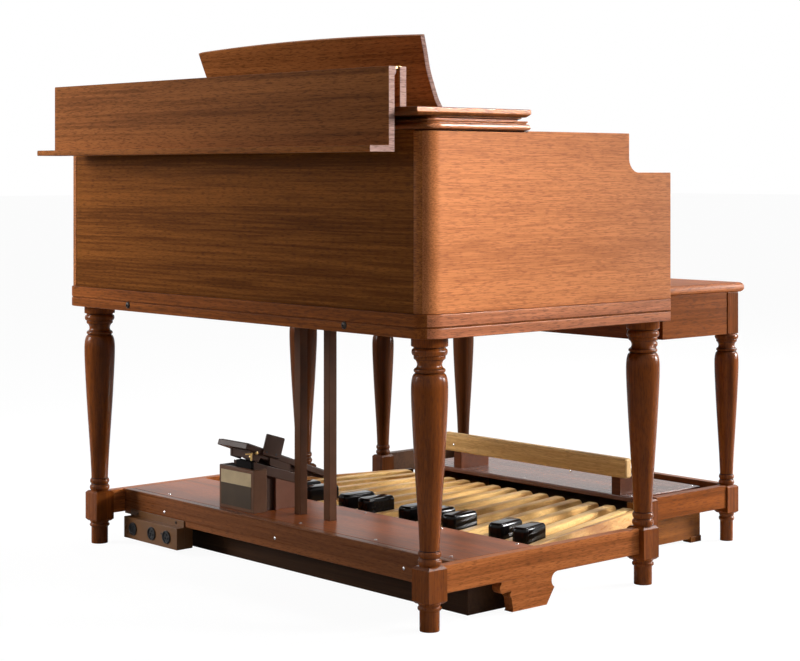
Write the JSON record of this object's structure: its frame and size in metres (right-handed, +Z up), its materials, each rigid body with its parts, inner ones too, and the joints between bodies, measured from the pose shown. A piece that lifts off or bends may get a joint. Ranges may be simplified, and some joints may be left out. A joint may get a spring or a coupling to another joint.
{
  "type": "tonewheel organ",
  "caption": "Walnut tonewheel organ on turned legs, lid open, seen with its radiating pedalboard, expression pedal and matching bench.",
  "frame": {"origin": "middle of the whole set's footprint on the floor, console, pedalboard and bench together", "axes": "+X to the player's right (treble), +Y from the bench towards the console's back, +Z up"},
  "size_m": [1.238, 1.298, 1.1395],
  "materials": {
    "walnut": "satin",
    "dark_walnut": "satin",
    "maple": "satin",
    "ash": "satin",
    "sharp_black": "gloss",
    "key_ivory": "gloss",
    "brown_metal": "satin"
  },
  "bodies": {
    "console": {"base_frame": "walnut", "bass_side": "walnut", "treble_side": "walnut", "rear_panel": "walnut", "key_slip": "walnut", "top_deck": "walnut", "tone_generator": "brown_metal", "lower_manual": "key_ivory", "upper_manual": "key_ivory", "drawbar_panel": "dark_walnut", "leg_rear_bass": "walnut", "leg_rear_treble": "walnut", "leg_front_bass": "walnut", "leg_front_treble": "walnut", "side_rail_bass": "walnut", "side_rail_treble": "walnut", "rear_rail": "walnut", "shelf": "walnut", "pedal_switch_box": "dark_walnut", "socket_box": "brown_metal", "post_bass": "brown_metal", "post_treble": "brown_metal", "expression_box": "brown_metal"},
    "lid": {"lid_top": "walnut", "lid_riser": "walnut"},
    "flap": {"lid_flap": "walnut"},
    "rest": {"music_rest": "walnut"},
    "treadle": {"expression_treadle": "brown_metal"},
    "bench": {"bench_end_bass": "walnut", "bench_end_treble": "walnut", "bench_outer_rail": "walnut", "bench_tray": "walnut"},
    "seat": {"bench_seat": "walnut"},
    "pedalboard": {"pedalboard_frame": "dark_walnut", "foot_rail": "ash"},
    "pedal_01": {"pedal_01": "maple"},
    "pedal_02": {"pedal_02": "sharp_black"},
    "pedal_03": {"pedal_03": "maple"},
    "pedal_04": {"pedal_04": "sharp_black"},
    "pedal_05": {"pedal_05": "maple"},
    "pedal_06": {"pedal_06": "maple"},
    "pedal_07": {"pedal_07": "sharp_black"},
    "pedal_08": {"pedal_08": "maple"},
    "pedal_09": {"pedal_09": "sharp_black"},
    "pedal_10": {"pedal_10": "maple"},
    "pedal_11": {"pedal_11": "sharp_black"},
    "pedal_12": {"pedal_12": "maple"},
    "pedal_13": {"pedal_13": "maple"},
    "pedal_14": {"pedal_14": "sharp_black"},
    "pedal_15": {"pedal_15": "maple"},
    "pedal_16": {"pedal_16": "sharp_black"},
    "pedal_17": {"pedal_17": "maple"},
    "pedal_18": {"pedal_18": "maple"},
    "pedal_19": {"pedal_19": "sharp_black"},
    "pedal_20": {"pedal_20": "maple"},
    "pedal_21": {"pedal_21": "sharp_black"},
    "pedal_22": {"pedal_22": "maple"},
    "pedal_23": {"pedal_23": "sharp_black"},
    "pedal_24": {"pedal_24": "maple"},
    "pedal_25": {"pedal_25": "maple"}
  },
  "joints": [
    {"name": "lid_turn", "type": "hinge", "parent": "console", "child": "lid", "pos_m": [0, 0.27465, 0.957], "axis": [1, 0, 0], "range_deg": [0, 180]},
    {"name": "flap_turn", "type": "hinge", "parent": "lid", "child": "flap", "pos_m": [0, 0.58125, 1.047], "axis": [1, 0, 0], "range_deg": [0, 90]},
    {"name": "rest_fold", "type": "hinge", "parent": "lid", "child": "rest", "pos_m": [0, 0.30503, 0.97759], "axis": [1, 0, 0], "range_deg": [-70, 0]},
    {"name": "treadle_rock", "type": "hinge", "parent": "console", "child": "treadle", "pos_m": [0.1495, 0.34065, 0.222], "axis": [1, 0, 0], "range_deg": [-18, 0]},
    {"name": "seat_lift", "type": "hinge", "parent": "bench", "child": "seat", "pos_m": [0.0565, -0.63405, 0.579], "axis": [1, 0, 0], "range_deg": [0, 80]},
    {"name": "bench_pull", "type": "slide", "parent": "console", "child": "bench", "axis": [0, -1, 0], "range_m": [0, 0.6]},
    {"name": "pedalboard_pull", "type": "slide", "parent": "console", "child": "pedalboard", "axis": [0, -1, 0], "range_m": [0, 0.3]},
    {"name": "pedal_01_press", "type": "hinge", "parent": "pedalboard", "child": "pedal_01", "pos_m": [-0.36186, -0.30698, 0.088], "axis": [0.966, 0.2585, 0], "range_deg": [-1.15, 0], "stiffness_Nm_per_rad": 60, "springref_deg": 1.72},
    {"name": "pedal_02_press", "type": "hinge", "parent": "pedalboard", "child": "pedal_02", "pos_m": [-0.33625, -0.30703, 0.088], "axis": [0.9705, 0.2412, 0], "range_deg": [-1.15, 0], "stiffness_Nm_per_rad": 60, "springref_deg": 1.72},
    {"name": "pedal_03_press", "type": "hinge", "parent": "pedalboard", "child": "pedal_03", "pos_m": [-0.31064, -0.30707, 0.088], "axis": [0.9747, 0.2236, 0], "range_deg": [-1.15, 0], "stiffness_Nm_per_rad": 60, "springref_deg": 1.72},
    {"name": "pedal_04_press", "type": "hinge", "parent": "pedalboard", "child": "pedal_04", "pos_m": [-0.28504, -0.30711, 0.088], "axis": [0.9786, 0.2058, 0], "range_deg": [-1.15, 0], "stiffness_Nm_per_rad": 60, "springref_deg": 1.72},
    {"name": "pedal_05_press", "type": "hinge", "parent": "pedalboard", "child": "pedal_05", "pos_m": [-0.25943, -0.30715, 0.088], "axis": [0.9822, 0.1878, 0], "range_deg": [-1.15, 0], "stiffness_Nm_per_rad": 60, "springref_deg": 1.72},
    {"name": "pedal_06_press", "type": "hinge", "parent": "pedalboard", "child": "pedal_06", "pos_m": [-0.20824, -0.30722, 0.088], "axis": [0.9885, 0.1512, 0], "range_deg": [-1.15, 0], "stiffness_Nm_per_rad": 60, "springref_deg": 1.72},
    {"name": "pedal_07_press", "type": "hinge", "parent": "pedalboard", "child": "pedal_07", "pos_m": [-0.18264, -0.30725, 0.088], "axis": [0.9912, 0.1326, 0], "range_deg": [-1.15, 0], "stiffness_Nm_per_rad": 60, "springref_deg": 1.72},
    {"name": "pedal_08_press", "type": "hinge", "parent": "pedalboard", "child": "pedal_08", "pos_m": [-0.15705, -0.30728, 0.088], "axis": [0.9935, 0.114, 0], "range_deg": [-1.15, 0], "stiffness_Nm_per_rad": 60, "springref_deg": 1.72},
    {"name": "pedal_09_press", "type": "hinge", "parent": "pedalboard", "child": "pedal_09", "pos_m": [-0.13145, -0.3073, 0.088], "axis": [0.9955, 0.0952, 0], "range_deg": [-1.15, 0], "stiffness_Nm_per_rad": 60, "springref_deg": 1.72},
    {"name": "pedal_10_press", "type": "hinge", "parent": "pedalboard", "child": "pedal_10", "pos_m": [-0.10586, -0.30732, 0.088], "axis": [0.9971, 0.0762, 0], "range_deg": [-1.15, 0], "stiffness_Nm_per_rad": 60, "springref_deg": 1.72},
    {"name": "pedal_11_press", "type": "hinge", "parent": "pedalboard", "child": "pedal_11", "pos_m": [-0.08027, -0.30733, 0.088], "axis": [0.9984, 0.0573, 0], "range_deg": [-1.15, 0], "stiffness_Nm_per_rad": 60, "springref_deg": 1.72},
    {"name": "pedal_12_press", "type": "hinge", "parent": "pedalboard", "child": "pedal_12", "pos_m": [-0.05468, -0.30734, 0.088], "axis": [0.9993, 0.0382, 0], "range_deg": [-1.15, 0], "stiffness_Nm_per_rad": 60, "springref_deg": 1.72},
    {"name": "pedal_13_press", "type": "hinge", "parent": "pedalboard", "child": "pedal_13", "pos_m": [-0.0035, -0.30735, 0.088], "axis": [1, 0, 0], "range_deg": [-1.15, 0], "stiffness_Nm_per_rad": 60, "springref_deg": 1.72},
    {"name": "pedal_14_press", "type": "hinge", "parent": "pedalboard", "child": "pedal_14", "pos_m": [0.02209, -0.30735, 0.088], "axis": [0.9998, -0.0191, 0], "range_deg": [-1.15, 0], "stiffness_Nm_per_rad": 60, "springref_deg": 1.72},
    {"name": "pedal_15_press", "type": "hinge", "parent": "pedalboard", "child": "pedal_15", "pos_m": [0.04768, -0.30734, 0.088], "axis": [0.9993, -0.0382, 0], "range_deg": [-1.15, 0], "stiffness_Nm_per_rad": 60, "springref_deg": 1.72},
    {"name": "pedal_16_press", "type": "hinge", "parent": "pedalboard", "child": "pedal_16", "pos_m": [0.07327, -0.30733, 0.088], "axis": [0.9984, -0.0573, 0], "range_deg": [-1.15, 0], "stiffness_Nm_per_rad": 60, "springref_deg": 1.72},
    {"name": "pedal_17_press", "type": "hinge", "parent": "pedalboard", "child": "pedal_17", "pos_m": [0.09886, -0.30732, 0.088], "axis": [0.9971, -0.0762, 0], "range_deg": [-1.15, 0], "stiffness_Nm_per_rad": 60, "springref_deg": 1.72},
    {"name": "pedal_18_press", "type": "hinge", "parent": "pedalboard", "child": "pedal_18", "pos_m": [0.15005, -0.30728, 0.088], "axis": [0.9935, -0.114, 0], "range_deg": [-1.15, 0], "stiffness_Nm_per_rad": 60, "springref_deg": 1.72},
    {"name": "pedal_19_press", "type": "hinge", "parent": "pedalboard", "child": "pedal_19", "pos_m": [0.17564, -0.30725, 0.088], "axis": [0.9912, -0.1326, 0], "range_deg": [-1.15, 0], "stiffness_Nm_per_rad": 60, "springref_deg": 1.72},
    {"name": "pedal_20_press", "type": "hinge", "parent": "pedalboard", "child": "pedal_20", "pos_m": [0.20124, -0.30722, 0.088], "axis": [0.9885, -0.1512, 0], "range_deg": [-1.15, 0], "stiffness_Nm_per_rad": 60, "springref_deg": 1.72},
    {"name": "pedal_21_press", "type": "hinge", "parent": "pedalboard", "child": "pedal_21", "pos_m": [0.22683, -0.30719, 0.088], "axis": [0.9855, -0.1696, 0], "range_deg": [-1.15, 0], "stiffness_Nm_per_rad": 60, "springref_deg": 1.72},
    {"name": "pedal_22_press", "type": "hinge", "parent": "pedalboard", "child": "pedal_22", "pos_m": [0.25243, -0.30715, 0.088], "axis": [0.9822, -0.1878, 0], "range_deg": [-1.15, 0], "stiffness_Nm_per_rad": 60, "springref_deg": 1.72},
    {"name": "pedal_23_press", "type": "hinge", "parent": "pedalboard", "child": "pedal_23", "pos_m": [0.27804, -0.30711, 0.088], "axis": [0.9786, -0.2058, 0], "range_deg": [-1.15, 0], "stiffness_Nm_per_rad": 60, "springref_deg": 1.72},
    {"name": "pedal_24_press", "type": "hinge", "parent": "pedalboard", "child": "pedal_24", "pos_m": [0.30364, -0.30707, 0.088], "axis": [0.9747, -0.2236, 0], "range_deg": [-1.15, 0], "stiffness_Nm_per_rad": 60, "springref_deg": 1.72},
    {"name": "pedal_25_press", "type": "hinge", "parent": "pedalboard", "child": "pedal_25", "pos_m": [0.35486, -0.30698, 0.088], "axis": [0.966, -0.2585, 0], "range_deg": [-1.15, 0], "stiffness_Nm_per_rad": 60, "springref_deg": 1.72}
  ],
  "couplings": [
    {"joint": "rest_fold", "follows": "lid_turn", "ratio": -0.38889},
    {"joint": "pedalboard_pull", "follows": "bench_pull", "ratio": 0.5}
  ]
}
